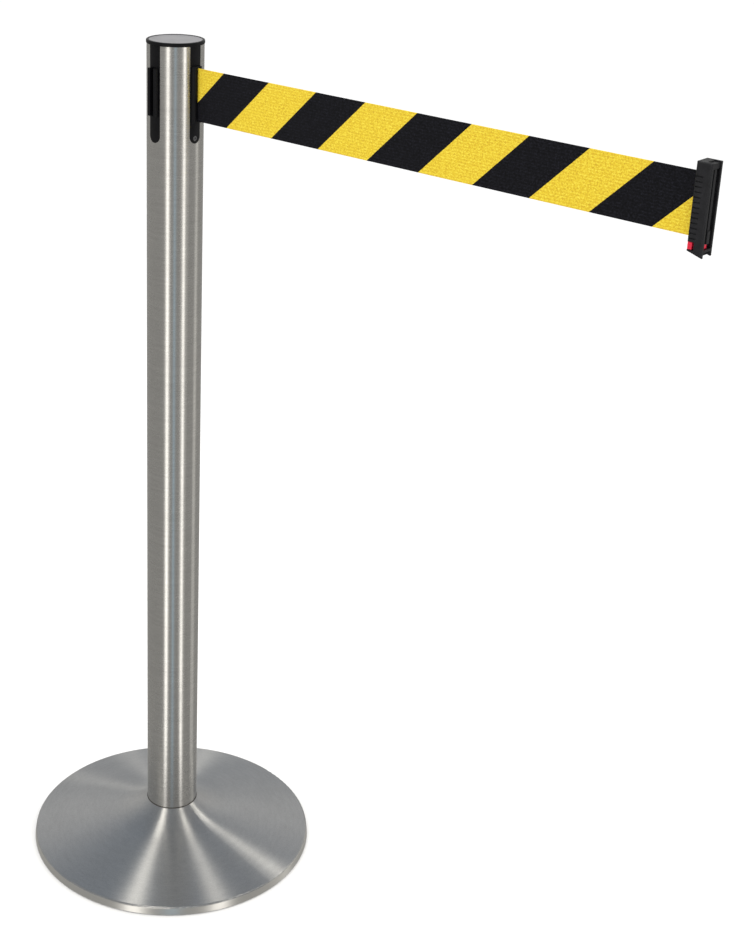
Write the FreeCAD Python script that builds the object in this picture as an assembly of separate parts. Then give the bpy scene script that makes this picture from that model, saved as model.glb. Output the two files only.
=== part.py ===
"""Retractable belt stanchion: weighted base, steel post, belt cassette in the post head, belt and belt clip.

Millimetres. Origin on the floor under the post's axis, +Z up, +X along the belt as it leaves the post.
Each make_... function returns one named piece as a list of closed solids.
"""

import FreeCAD
import Part
import math
import os

V = FreeCAD.Vector
UP = V(0, 0, 1)

# Driving dimensions: the whole object
HEIGHT = 1029.0
POST_R = 31.75
POST_WALL = 1.5
BASE_R = 178.0
GAP = 0.2              # ordinary gap between two pieces that only sit beside each other

# Base
SHEET = 1.2            # thickness of the spun steel cover
COVER_FOOT_Z = 1.5     # height of the cover's lower edge above the floor
COVER_FOLD = 6.5       # how far the foot is folded in
COVER_HOLE_R = 14.0
PLATEAU_Z = 53.5       # flat top of the cover, which the post stands on
PLATEAU_R = 32.5
CONE_ANGLE = 12.0      # slope of the cover's straight part, in degrees
CONE_START_R = 75.0
CONE_END_R = 175.0
RIM_BEND_R = 2.4
RIM_LEAN = 8.0         # degrees that the cover's rim leans out towards the floor
RING_H = 4.0           # rubber ring and plug under the weight
RING_W = 19.0
RING_GROOVE = 0.8
WEIGHT_R = 169.0
WEIGHT_HOLLOW = 7.0    # how far the weight's underside is hollowed between its webs
BOSS_R = 24.0
RECESS_R = 26.0
GASKET = 1.0

# Tie bolt, M12
BOLT_R = 6.0
BOLT_HOLE_R = 7.0
BOLT_HEAD_Z = 9.0
BOLT_HEAD_H = 7.5
BOLT_FLATS = 19.0
LOCK_WASHER_T = 2.5
PLATE_WASHER_T = 3.0
RECESS_Z = BOLT_HEAD_Z + BOLT_HEAD_H + LOCK_WASHER_T + PLATE_WASHER_T
PLUG_H = 30.0
PLUG_FLANGE_H = 10.0
PLUG_BOSS_R = 14.0

# Post
POST_FOOT_Z = PLATEAU_Z + GASKET
CAP_RIM = 4.0
POST_TOP_Z = HEIGHT - CAP_RIM
BORE_R = POST_R - POST_WALL
SLOT_W = 15.6          # slots in the post's top, one on each of four sides
SLOT_BOTTOM_Z = 919.0
CAP_R = 32.25
DISC_R = 29.4
DISC_RECESS = 1.2

# Belt
BELT_W = 58.0
BELT_T = 0.7
BELT_Z = 973.0         # height of the belt's middle
BELT_OUT = 608.0       # from the exit nose's front to the clip's rear face, as stored
BELT_LENGTH = 2300.0   # all of it, drawn out and wound up
BELT_LOW = BELT_Z - BELT_W / 2
BELT_HIGH = BELT_Z + BELT_W / 2

# Cassette
CORE_R = 30.0
CHAMBER_R = 25.2
CORE_FLOOR_Z = 913.0
CHAMBER_Z = 920.0
LID_Z = 1015.0
LID_T = 5.0
LID_SCREW_R = 27.6     # the lid's screws' distance from the post's axis
RIB_W = 15.2
RIB_R = 31.9
SCREW_Z = SLOT_BOTTOM_Z + 5.6
POCKET_W = 11.2
POCKET_R = 25.9
AXLE_R = 3.0
AXLE_CLIP_T = 0.8
GUIDE_PIN_R = 1.4
GUIDE_PIN_X = 28.4

# Exit nose and receivers
NOSE_R = 36.0          # how far they stand out from the post's axis
NOSE_W = 13.6
NOSE_WALL = 1.4
NOSE_SLIT = 2.4
BELT_ROOM = 0.6        # beside each edge of the belt, in the exit nose
RECEIVER_LOW = 949.0
RECEIVER_HIGH = 1001.0
RECEIVER_SLOT_W = 5.2
RECEIVER_NECK_W = 11.6
RECEIVER_LIP = 2.4

# Spool stack, from the bottom up
CUP_Z = 921.0
CUP_TOP_Z = 939.5
CUP_WALL = 1.6
SPRING_TURNS = 6
SPRING_T = 0.8
SPRING_W = 12.0
SPRING_IN_R = 5.4
SPRING_OUT_R = 21.9
FLANGE_T = 1.4
FLANGE_R = 24.5
SPOOL_Z = 941.0
SPOOL_TOP_Z = 2 * BELT_Z - SPOOL_Z
SPOOL_HUB_R = 8.0
BUSH_T = 1.6
BUSH_L = 12.0
CARRIER_R = 21.8
CARRIER_T = 2.0
SHOE_T = 3.5
SHOE_PIVOT_R = 19.5
SHOE_PIN_R = 1.5
DRUM_R = 23.6

# Belt clip
CLIP_REAR_X = NOSE_R + BELT_OUT
CLIP_L = 15.0          # along the belt, to the cheeks' front edges
CLIP_W = 19.4
CLIP_TOP_Z = BELT_Z + 39.0
CLIP_BOTTOM_Z = BELT_Z - 40.0
CLIP_TOE = 4.6         # how much lower the clip reaches at the front
CLIP_ROUND = 1.6
CLIP_FRONT_X = CLIP_REAR_X + CLIP_L
CHEEK_T = 2.6
CHEEK_DEPTH = 6.5
CHEEK_X = CLIP_FRONT_X - CHEEK_DEPTH
CHEEK_RIDGE = 0.9      # ridge inside each cheek's front edge, which goes behind a receiver's lip
CHEEK_RIDGE_L = 1.4
STOP_H = 5.0           # block between the cheeks at the top, which sits on a receiver
STOP_SINK = 1.2
TONGUE_T = 3.8
TONGUE_BACK = 1.2      # how far the tongue stays behind the cheeks' front edges
TONGUE_FOOT_T = 4.8
TONGUE_FOOT_H = 11.4
TONGUE_FOOT_BACK = 0.3
TONGUE_ROOT = 1.3      # how deep the tongue stands in its groove
LOOP_X = CLIP_REAR_X + 4.2
LOOP_PIN_R = 1.4
GRIP_GROOVES = 13
GRIP_PITCH = 4.55
GRIP_DEPTH = 1.0
GRIP_H = 1.5
GRIP_START = 1.3       # from the clip's rear face
GRIP_END = 7.9
LOCK_TRAVEL = 2.0
LOCK_BAR_L = 4.4
LOCK_NOTCH_L = 4.9
LOCK_NOSE_W = 5.6
LOCK_NOSE_L = 3.9      # how far the lock's nose reaches in between the cheeks
LOCK_NOSE_DROP = 2.0   # how much lower the nose's channel ends than the notch
LOCK_GAP = 0.3
WINDOW_LOW = CLIP_BOTTOM_Z + 1.3
WINDOW_HIGH = WINDOW_LOW + 7.4
TOE_Z = WINDOW_LOW + 1.0   # top of the floor between the cheeks
TOE_FLOOR_T = 2.2
TOE_HOLLOW_L = 3.0     # how far back the clip is hollowed under that floor
CLIP_SCREW_R = 1.0
CLIP_SCREW_HEAD_R = 1.6


def cylinder(r, z0, z1, x=0.0, y=0.0):
    return Part.makeCylinder(r, z1 - z0, V(x, y, z0), UP)


def ring(outer, inner, z0, z1, x=0.0, y=0.0):
    return cylinder(outer, z0, z1, x, y).cut(cylinder(inner, z0 - 1, z1 + 1, x, y))


def block(x0, x1, y0, y1, z0, z1):
    return Part.makeBox(x1 - x0, y1 - y0, z1 - z0, V(x0, y0, z0))


def turned(shape, degrees):
    copy = shape.copy()
    copy.rotate(V(0, 0, 0), UP, degrees)
    return copy


def revolved(edges):
    """Closed profile in the XZ plane, turned once round the Z axis."""
    return Part.Face(Part.Wire(edges)).revolve(V(0, 0, 0), UP, 360)


def line(a, b):
    return Part.makeLine(V(a[0], 0, a[1]), V(b[0], 0, b[1]))


def arc(centre, radius, start, end):
    """Arc in the XZ plane between two angles in degrees, measured from +X towards +Z."""
    def at(angle):
        t = math.radians(angle)
        return V(centre[0] + radius * math.cos(t), 0, centre[1] + radius * math.sin(t))
    return Part.Arc(at(start), at((start + end) / 2), at(end)).toShape()


def profile_of(points):
    """Closed straight-sided profile in the XZ plane."""
    return [line(a, b) for a, b in zip(points, points[1:] + points[:1])]


def extruded_xy(points, z0, z1):
    corners = [V(x, y, z0) for x, y in points]
    return Part.Face(Part.makePolygon(corners + corners[:1])).extrude(V(0, 0, z1 - z0))


def extruded_xz(points, y0, y1):
    corners = [V(x, y0, z) for x, z in points]
    return Part.Face(Part.makePolygon(corners + corners[:1])).extrude(V(0, y1 - y0, 0))


def upright_edges(shape):
    """The straight edges that run along Z."""
    return [e for e in shape.Edges if isinstance(e.Curve, Part.Line) and abs(e.Curve.Direction.z) > 0.999]


def hexagon(across_flats, z0, z1):
    r = across_flats / math.sqrt(3)
    points = [(r * math.cos(math.radians(60 * i)), r * math.sin(math.radians(60 * i))) for i in range(6)]
    return extruded_xy(points, z0, z1)


def bend_centre():
    """Centre of the bend between the cover's cone and its rim."""
    cone = math.radians(CONE_ANGLE)
    lean = math.radians(RIM_LEAN)
    x = CONE_END_R - RIM_BEND_R * math.sin(cone)
    rim_top_x = x + RIM_BEND_R * math.cos(lean)
    rim_top_z = COVER_FOOT_Z + (BASE_R - rim_top_x) / math.tan(lean)
    return x, rim_top_z - RIM_BEND_R * math.sin(lean)


def sweep_arc():
    """Centre, radius and upper angle of the concave sweep between the cone and the plateau."""
    cone = math.radians(CONE_ANGLE)
    bend_x, bend_z = bend_centre()
    cone_end_z = bend_z + RIM_BEND_R * math.cos(cone)
    cone_start_z = cone_end_z + (CONE_END_R - CONE_START_R) * math.tan(cone)
    rise = PLATEAU_Z - cone_start_z
    run = CONE_START_R - PLATEAU_R
    steep = 2 * math.atan2(rise, run) - cone
    radius = math.hypot(rise, run) / (2 * math.sin((steep - cone) / 2))
    centre = (CONE_START_R + radius * math.sin(cone), cone_start_z + radius * math.cos(cone))
    return centre, radius


def cover_line(inset):
    """The cover's surface moved inwards by inset, from the plateau's edge to its foot: (places, edges)."""
    centre, radius = sweep_arc()
    bend = bend_centre()
    sweep_r = radius + inset
    bend_r = RIM_BEND_R - inset
    top_z = PLATEAU_Z - inset
    top_angle = 180 + math.degrees(math.asin((centre[1] - top_z) / sweep_r))
    low_angle = 270 - CONE_ANGLE

    def place(c, r, angle):
        return c[0] + r * math.cos(math.radians(angle)), c[1] + r * math.sin(math.radians(angle))
    top = place(centre, sweep_r, top_angle)
    low = place(centre, sweep_r, low_angle)
    bend_start = place(bend, bend_r, 90 - CONE_ANGLE)
    bend_end = place(bend, bend_r, RIM_LEAN)
    foot = (BASE_R - inset / math.cos(math.radians(RIM_LEAN)), COVER_FOOT_Z)
    edges = [
        arc(centre, sweep_r, top_angle, low_angle),
        line(low, bend_start),
        arc(bend, bend_r, 90 - CONE_ANGLE, RIM_LEAN),
        line(bend_end, foot),
    ]
    return [top, low, bend_start, bend_end, foot], edges


def make_floor_ring():
    """Rubber ring that carries the weight, with two grooves in its foot."""
    outer = WEIGHT_R - 1
    body = ring(outer, outer - RING_W, 0, RING_H)
    for inset in (4.0, 11.0):
        body = body.cut(ring(outer - inset, outer - inset - 2.0, -1, RING_GROOVE))
    return [body]


def make_bolt_cover():
    """Rubber plug that closes the recess round the bolt's head, level with the floor ring."""
    body = cylinder(RECESS_R - GAP, 0, RING_H + 2)
    return [body.cut(cylinder(RECESS_R - 6, RING_H - 1.5, RING_H + 3))]


def make_base_weight():
    """Cast disc under the cover, with a boss that carries the post and a recess for the bolt's head."""
    places, _ = cover_line(SHEET + 0.6)
    low_x, low_z = places[1]
    edge_z = low_z - (WEIGHT_R - low_x) * math.tan(math.radians(CONE_ANGLE))
    boss_top = PLATEAU_Z - SHEET
    outline = [
        (BOLT_HOLE_R, boss_top), (BOSS_R, boss_top), (BOSS_R + 3, boss_top - 6),
        (BOSS_R + 22, boss_top - 24), (low_x, low_z - 1), (WEIGHT_R, edge_z - 1),
        (WEIGHT_R, RING_H), (138.0, RING_H), (132.0, RING_H + WEIGHT_HOLLOW),
        (44.0, RING_H + WEIGHT_HOLLOW), (38.0, RING_H), (RECESS_R, RING_H),
        (RECESS_R, RECESS_Z), (BOLT_HOLE_R, RECESS_Z),
    ]
    body = revolved(profile_of(outline))
    for i in range(6):
        web = block(40, 136, -4, 4, RING_H, RING_H + WEIGHT_HOLLOW + 0.5)
        body = body.fuse(turned(web, 60 * i + 30))
    return [body.removeSplitter()]


def make_base_cover():
    """Spun stainless steel cover, turned in at its foot, with a hole for the bolt."""
    outer, outer_edges = cover_line(0)
    inner, inner_edges = cover_line(SHEET)
    hole_top = (COVER_HOLE_R, PLATEAU_Z)
    hole_low = (COVER_HOLE_R, PLATEAU_Z - SHEET)
    edges = [line(hole_top, outer[0])] + outer_edges + [line(outer[-1], inner[-1])] + inner_edges
    edges += [line(inner[0], hole_low), line(hole_low, hole_top)]
    shell = revolved(Part.__sortEdges__(edges))
    foot = ring(BASE_R - SHEET / 2, BASE_R - COVER_FOLD, COVER_FOOT_Z, COVER_FOOT_Z + SHEET)
    return [shell.fuse(foot).removeSplitter()]


def make_post_gasket():
    return [ring(PLATEAU_R - 0.3, RECESS_R, PLATEAU_Z, PLATEAU_Z + GASKET)]


def make_tie_bolt():
    """Hexagon bolt, its head's lower corners turned off and its tip chamfered."""
    head_top = BOLT_HEAD_Z + BOLT_HEAD_H
    corner_r = BOLT_FLATS / math.sqrt(3) + 1
    head = hexagon(BOLT_FLATS, BOLT_HEAD_Z, head_top)
    turning = Part.makeCone(BOLT_FLATS / 2, corner_r, 3.0, V(0, 0, BOLT_HEAD_Z), UP)
    head = head.common(turning.fuse(cylinder(corner_r, BOLT_HEAD_Z + 3.0, head_top)))
    shank_r = BOLT_R - 0.06
    tip_z = POST_FOOT_Z + PLUG_H - 4
    shank = cylinder(shank_r, head_top, tip_z)
    tip = Part.makeCone(shank_r, shank_r - 1.2, 1.5, V(0, 0, tip_z), UP)
    return [head.fuse(shank).fuse(tip).removeSplitter()]


def make_lock_washer():
    """Split spring washer."""
    z0 = BOLT_HEAD_Z + BOLT_HEAD_H
    body = ring(BOLT_FLATS / 2 + 0.7, BOLT_R + 0.2, z0, z0 + LOCK_WASHER_T)
    return [body.cut(block(BOLT_R - 2, BOLT_FLATS, -0.8, 0.8, z0 - 1, z0 + LOCK_WASHER_T + 1))]


def make_plate_washer():
    return [ring(RECESS_R - 4, BOLT_R + 0.4, RECESS_Z - PLATE_WASHER_T, RECESS_Z)]


def make_foot_plug():
    """Steel plug in the bottom of the post, tapped for the tie bolt."""
    z0 = POST_FOOT_Z
    z1 = z0 + PLUG_H
    shoulder = z0 + PLUG_FLANGE_H
    fit_r = BORE_R - 0.05
    outline = [(BOLT_R, z0), (fit_r, z0), (fit_r, shoulder), (fit_r - 3, shoulder + 3),
               (PLUG_BOSS_R, shoulder + 3), (PLUG_BOSS_R, z1), (BOLT_R, z1)]
    return [revolved(profile_of(outline))]


def slot_shape(width, inner_r, bottom_z, top_z):
    """Upright bar with a round lower end, from inner_r outwards past the post's skin, on the +X side."""
    half = width / 2
    reach = 40 - inner_r
    bar = block(inner_r, 40, -half, half, bottom_z + half, top_z)
    end = Part.makeCylinder(half, reach, V(inner_r, 0, bottom_z + half), V(1, 0, 0))
    return bar.fuse(end).removeSplitter()


def make_post_tube():
    """Stainless tube, with four round-ended slots down from its top for the cassette's ribs."""
    tube = ring(POST_R, BORE_R, POST_FOOT_Z, POST_TOP_Z)
    slot = slot_shape(SLOT_W, 20, SLOT_BOTTOM_Z, POST_TOP_Z + 1)
    for i in range(4):
        tube = tube.cut(turned(slot, 90 * i))
    return [tube]


def lid_screw_places():
    places = []
    for i in range(4):
        t = math.radians(45 + 90 * i)
        places.append((LID_SCREW_R * math.cos(t), LID_SCREW_R * math.sin(t)))
    return places


def make_cassette_core():
    """Moulded frame in the post's head: a chamber for the spool, four ribs that fill the post's slots."""
    gap = (SLOT_W - RIB_W) / 2
    rib = slot_shape(RIB_W, CORE_R - 3, SLOT_BOTTOM_Z + gap, POST_TOP_Z - 0.1)
    rib = rib.common(cylinder(RIB_R, SLOT_BOTTOM_Z - 1, POST_TOP_Z))
    body = cylinder(CORE_R, CORE_FLOOR_Z, LID_Z)
    for i in range(4):
        body = body.fuse(turned(rib, 90 * i))
    body = body.cut(cylinder(CHAMBER_R, CHAMBER_Z, LID_Z + 1))
    body = body.cut(cylinder(CORE_R + 0.1, LID_Z, POST_TOP_Z))
    body = body.cut(cylinder(AXLE_R + 0.02, CORE_FLOOR_Z - 1, CHAMBER_Z + 1))
    half = POCKET_W / 2 + 0.1
    pocket = block(20, 40, -half, half, RECEIVER_LOW - 1.1, RECEIVER_HIGH + 1.1)
    for i in (1, 2, 3):
        body = body.cut(turned(pocket, 90 * i))
    low, high = nose_span()
    body = body.cut(block(20, 40, -half, half, low - 0.3, high + 0.3))
    for x, y in lid_screw_places():
        body = body.cut(cylinder(1.25, LID_Z - 12, LID_Z + 1, x, y))
    hole = Part.makeCylinder(1.5, 14, V(CHAMBER_R - 1, 0, SCREW_Z), V(1, 0, 0))
    sink = Part.makeCone(1.5, 3.1, 1.6, V(RIB_R - 2.0, 0, SCREW_Z), V(1, 0, 0))
    well = Part.makeCylinder(3.1, 2, V(RIB_R - 0.4, 0, SCREW_Z), V(1, 0, 0))
    return [body.cut(hole).cut(sink).cut(well).removeSplitter()]


def nose_span():
    """Lowest and highest Z of the exit nose's inner block."""
    half = BELT_W / 2 + BELT_ROOM + NOSE_WALL
    return BELT_Z - half, BELT_Z + half


def make_cassette_lid():
    """Lid of the spool's chamber, with countersunk holes and three shallow recesses."""
    top = LID_Z + LID_T
    body = cylinder(CORE_R - 0.1, LID_Z, top)
    body = body.cut(cylinder(AXLE_R + 0.02, LID_Z - 1, top + 1))
    for x, y in lid_screw_places():
        body = body.cut(cylinder(1.6, LID_Z - 1, top + 1, x, y))
        body = body.cut(Part.makeCone(1.6, 2.3, 1.9, V(x, y, top - 1.8), UP))
    wedge = extruded_xy([(0, 0), (30, -12), (30, 12)], top - 1.5, top + 1)
    recess = ring(22.0, 10.0, top - 1.5, top + 1).common(wedge)
    for i in range(3):
        body = body.cut(turned(recess, 120 * i))
    return [body]


def flat_screw(x, y, top_z, shank_r, head_r, length):
    """Countersunk screw with a cross recess, head up."""
    head = Part.makeCone(shank_r, head_r, 1.7, V(x, y, top_z - 1.7), UP)
    shank = cylinder(shank_r, top_z - length, top_z - 1.6, x, y)
    body = head.fuse(shank)
    for a, b in ((head_r * 0.55, 0.3), (0.3, head_r * 0.55)):
        body = body.cut(block(x - a, x + a, y - b, y + b, top_z - 0.9, top_z + 1))
    return body


def make_lid_screws():
    return [flat_screw(x, y, LID_Z + LID_T, 1.2, 2.2, 15) for x, y in lid_screw_places()]


def make_cassette_screw():
    """Countersunk screw through the belt-side rib, which keeps the cassette in the post."""
    screw = flat_screw(0, 0, 0, 1.4, 2.9, 5.8)
    screw.rotate(V(0, 0, 0), V(0, 1, 0), 90)
    screw.translate(V(RIB_R - 0.4, 0, SCREW_Z))
    return [screw]


def make_head_cap():
    """Black cap over the post's top, with a raised lip round its disc and a spigot inside the post."""
    floor = HEIGHT - DISC_RECESS
    outline = [(0, floor), (DISC_R + 0.1, floor), (DISC_R + 0.1, HEIGHT - 0.2), (DISC_R + 0.3, HEIGHT),
               (CAP_R - 1.2, HEIGHT), (CAP_R - 0.4, HEIGHT - 0.3), (CAP_R, HEIGHT - 1.1),
               (CAP_R, POST_TOP_Z + 0.5), (CAP_R - 0.4, POST_TOP_Z), (0, POST_TOP_Z)]
    body = revolved(profile_of(outline))
    spigot = ring(CORE_R, CORE_R - 1.6, LID_Z + LID_T + 0.1, POST_TOP_Z)
    return [body.fuse(spigot).removeSplitter()]


def make_cap_disc():
    return [cylinder(DISC_R, HEIGHT - DISC_RECESS, HEIGHT - 0.45)]


def make_receiver():
    """Receiver on the +X side: a nose with a lip down each side, and a slot for a belt clip's tongue."""
    low, high = RECEIVER_LOW, RECEIVER_HIGH
    skin = RIB_R + 0.05
    lip = block(NOSE_R - RECEIVER_LIP, NOSE_R, -NOSE_W / 2, NOSE_W / 2, low, high)
    lip = lip.makeFillet(0.9, [e for e in upright_edges(lip) if e.CenterOfMass.x > NOSE_R - 1])
    neck = block(skin, NOSE_R - RECEIVER_LIP + 0.5, -RECEIVER_NECK_W / 2, RECEIVER_NECK_W / 2, low, high)
    inner = block(POCKET_R, skin + 0.5, -POCKET_W / 2, POCKET_W / 2, low - 1, high + 1)
    inner = inner.cut(block(skin, 50, -20, 20, low - 3, low)).cut(block(skin, 50, -20, 20, high, high + 3))
    half = RECEIVER_SLOT_W / 2
    slot = block(skin - 1, 50, -half, half, low - 3, high + 3)
    deep = block(POCKET_R + 1.3, skin, -half, half, low + 3, high - 3)
    return lip.fuse(neck).fuse(inner).cut(slot).cut(deep).removeSplitter()


def make_belt_nose():
    """Exit nose on the +X side: the belt comes out through its slit, between two steel guide pins."""
    low, high = nose_span()
    skin = RIB_R + 0.05
    face = block(skin, NOSE_R, -NOSE_W / 2, NOSE_W / 2, low + 0.4, high - 0.4)
    face = face.makeFillet(3.4, [e for e in upright_edges(face) if e.CenterOfMass.x > NOSE_R - 1])
    inner = block(POCKET_R, skin + 0.5, -POCKET_W / 2, POCKET_W / 2, low, high)
    body = face.fuse(inner)
    z0 = BELT_LOW - BELT_ROOM
    z1 = BELT_HIGH + BELT_ROOM
    half = NOSE_SLIT / 2
    body = body.cut(block(POCKET_R - 1, 50, -half, half, z0, z1))
    throat = [(POCKET_R - 1, -4.4), (GUIDE_PIN_X + 2.2, -4.4), (GUIDE_PIN_X + 3.6, -half),
              (GUIDE_PIN_X + 3.6, half), (GUIDE_PIN_X + 2.2, 4.4), (POCKET_R - 1, 4.4)]
    body = body.cut(extruded_xy(throat, z0, z1))
    for x, y in guide_places():
        body = body.cut(cylinder(GUIDE_PIN_R + 0.02, low + 0.4, high - 0.4, x, y))
    return [body.removeSplitter()]


def guide_places():
    y = GUIDE_PIN_R + BELT_T / 2 + 0.1
    return [(GUIDE_PIN_X, y), (GUIDE_PIN_X, -y)]


def make_guide_pins():
    low, high = nose_span()
    return [cylinder(GUIDE_PIN_R, low + 0.5, high - 0.5, x, y) for x, y in guide_places()]


def wound_radius(length):
    """Outer radius of a roll that holds this length of belt."""
    return math.sqrt(SPOOL_HUB_R ** 2 + length * BELT_T / math.pi)


ROLL_R = wound_radius(BELT_LENGTH - BELT_OUT - NOSE_R)


def make_belt_leader():
    """The belt's run from the roll's side to the guide pins."""
    px, py = guide_places()[0]
    bend_r = GUIDE_PIN_R + BELT_T / 2 + 0.1
    roll_r = ROLL_R + BELT_T / 2 + 0.05
    reach, heading = math.hypot(px, py), math.atan2(py, px)
    run = heading - math.asin((roll_r + bend_r) / reach)
    nx, ny = -math.sin(run), math.cos(run)
    start = V(roll_r * nx, roll_r * ny, BELT_LOW)
    turn = V(px - bend_r * nx, py - bend_r * ny, BELT_LOW)
    middle = (run - math.pi / 2) / 2 - math.pi / 4
    mid = V(px + bend_r * math.cos(middle), py + bend_r * math.sin(middle), BELT_LOW)
    stop = V(px, 0, BELT_LOW)
    half = BELT_T / 2

    def shifted(p, cx, cy, r, side):
        k = (r + side * half) / r
        return V(cx + (p.x - cx) * k, cy + (p.y - cy) * k, p.z)
    side_a = [shifted(p, px, py, bend_r, 1) for p in (turn, mid, stop)]
    side_b = [shifted(p, px, py, bend_r, -1) for p in (turn, mid, stop)]
    a0 = V(start.x - nx * half, start.y - ny * half, start.z)
    b0 = V(start.x + nx * half, start.y + ny * half, start.z)
    edges = [Part.makeLine(a0, side_a[0]), Part.Arc(*side_a).toShape(), Part.makeLine(side_a[2], side_b[2]),
             Part.Arc(*side_b).toShape(), Part.makeLine(side_b[0], b0), Part.makeLine(b0, a0)]
    return [Part.Face(Part.Wire(Part.__sortEdges__(edges))).extrude(V(0, 0, BELT_W))]


def axle_clip_heights():
    return [CORE_FLOOR_Z - 1.1, LID_Z + LID_T + 0.3]


def make_spool_axle():
    """Fixed steel axle, held in the core's floor and the lid, with two grooves and a slot for the spring."""
    body = cylinder(AXLE_R, CORE_FLOOR_Z - 3.2, LID_Z + LID_T + 2.4)
    for z in axle_clip_heights():
        body = body.cut(ring(AXLE_R + 1, AXLE_R - 0.7, z - 0.1, z + AXLE_CLIP_T + 0.1))
    return [body.cut(block(-5, 5, -0.5, 0.5, CUP_Z + 2.5, CUP_Z + 3.5 + SPRING_W))]


def make_axle_clips():
    """Open retaining rings."""
    clips = []
    for z in axle_clip_heights():
        body = ring(5.6, AXLE_R - 0.6, z, z + AXLE_CLIP_T)
        clips.append(body.cut(block(0, 8, -1.6, 1.6, z - 1, z + 2)))
    return clips


def make_spool():
    """Drum that the belt winds on, with a flange at each end."""
    bore = AXLE_R + BUSH_T
    hub = ring(SPOOL_HUB_R, bore, SPOOL_Z, SPOOL_TOP_Z)
    lower = ring(FLANGE_R, bore, SPOOL_Z, SPOOL_Z + FLANGE_T)
    upper = ring(FLANGE_R, bore, SPOOL_TOP_Z - FLANGE_T, SPOOL_TOP_Z)
    return [hub.fuse(lower).fuse(upper).removeSplitter()]


def make_spool_bushes():
    """Sleeve bearings in the spool's two ends, which run on the axle."""
    inner = AXLE_R + 0.05
    outer = AXLE_R + BUSH_T - 0.02
    lower = ring(outer, inner, SPOOL_Z + 0.2, SPOOL_Z + 0.2 + BUSH_L)
    upper = ring(outer, inner, SPOOL_TOP_Z - 0.2 - BUSH_L, SPOOL_TOP_Z - 0.2)
    return [lower, upper]


def make_belt_roll():
    return [ring(ROLL_R, SPOOL_HUB_R + 0.02, BELT_LOW, BELT_HIGH)]


def make_spring_cup():
    """Cup under the spool that turns with it and drives the outer end of the power spring."""
    cup = cylinder(FLANGE_R, CUP_Z, CUP_TOP_Z)
    cup = cup.cut(cylinder(FLANGE_R - CUP_WALL, CUP_Z + CUP_WALL, CUP_TOP_Z + 1))
    return [cup.cut(cylinder(AXLE_R + 0.4, CUP_Z - 1, CUP_Z + 3))]


def make_spring_cover():
    return [ring(FLANGE_R, AXLE_R + 0.4, CUP_TOP_Z + 0.05, SPOOL_Z - 0.05)]


def make_power_spring():
    """Flat spiral of spring steel: half turns about two centres, so that each joins the next smoothly."""
    z0 = CUP_Z + 3.0
    pitch = (SPRING_OUT_R - SPRING_IN_R - SPRING_T) / SPRING_TURNS
    edges = []
    starts = []
    stops = []
    for extra in (0.0, SPRING_T):
        for i in range(2 * SPRING_TURNS):
            side = 1 if i % 2 == 0 else -1
            cx = 0.0 if side > 0 else pitch / 2
            r = SPRING_IN_R + extra + i * pitch / 2
            start = V(cx + side * r, 0, z0)
            stop = V(cx - side * r, 0, z0)
            edges.append(Part.Arc(start, V(cx, side * r, z0), stop).toShape())
            if i == 0:
                starts.append(start)
        stops.append(stop)
    edges.append(Part.makeLine(*starts))
    edges.append(Part.makeLine(*stops))
    strip = Part.Face(Part.Wire(Part.__sortEdges__(edges))).extrude(V(0, 0, SPRING_W))
    half = SPRING_T / 2
    inner_tab = block(0.5, SPRING_IN_R + SPRING_T, -half, half, z0, z0 + SPRING_W)
    outer_tab = block(SPRING_OUT_R - SPRING_T, FLANGE_R - CUP_WALL - 0.05, -half, half, z0, z0 + SPRING_W)
    return [strip.fuse(inner_tab).fuse(outer_tab).removeSplitter()]


def make_brake_carrier():
    """Disc on the spool's top, with two pins that the brake shoes swing on."""
    z0 = SPOOL_TOP_Z + 0.05
    z1 = z0 + CARRIER_T
    body = ring(CARRIER_R, AXLE_R + 0.5, z0, z1)
    for side in (1, -1):
        body = body.fuse(cylinder(SHOE_PIN_R, z1 - 0.5, z1 + SHOE_T + 0.5, side * SHOE_PIVOT_R, 0))
    return [body.removeSplitter()]


def make_brake_shoe():
    """Curved weight that swings out on its pin and rubs on the drum when the belt runs back fast."""
    z0 = SPOOL_TOP_Z + 0.05 + CARRIER_T + 0.15
    z1 = z0 + SHOE_T
    sector = [(0, 0)]
    for degrees in range(0, 121, 20):
        t = math.radians(degrees)
        sector.append((40 * math.cos(t), 40 * math.sin(t)))
    body = ring(DRUM_R - 1.2, 15.5, z0, z1).common(extruded_xy(sector, z0, z1))
    body = body.fuse(cylinder(SHOE_PIN_R + 1.4, z0, z1, SHOE_PIVOT_R, 0))
    return body.cut(cylinder(SHOE_PIN_R + 0.06, z0 - 1, z1 + 1, SHOE_PIVOT_R, 0)).removeSplitter()


def make_brake_drum():
    """Steel ring in the top of the chamber that the brake shoes rub on."""
    return [ring(CHAMBER_R - 0.1, DRUM_R, SPOOL_TOP_Z + CARRIER_T - 0.5, LID_Z - 0.1)]


def make_belt():
    """The belt that is drawn out, from the guide pins to the loop round the clip's pin."""
    half = BELT_T / 2
    strip = block(GUIDE_PIN_X, LOOP_X - LOOP_PIN_R, -half, half, BELT_LOW, BELT_HIGH)
    loop = ring(LOOP_PIN_R + 0.05 + BELT_T, LOOP_PIN_R + 0.05, BELT_LOW, BELT_HIGH, LOOP_X, 0)
    strip = strip.cut(cylinder(LOOP_PIN_R + 0.05, BELT_LOW - 1, BELT_HIGH + 1, LOOP_X, 0))
    return [strip.fuse(loop).removeSplitter()]


def lower_edge(x):
    """Height of the clip's slanting lower edge at this X."""
    share = (x - CLIP_REAR_X) / CLIP_L
    return CLIP_BOTTOM_Z - CLIP_TOE * share


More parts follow.
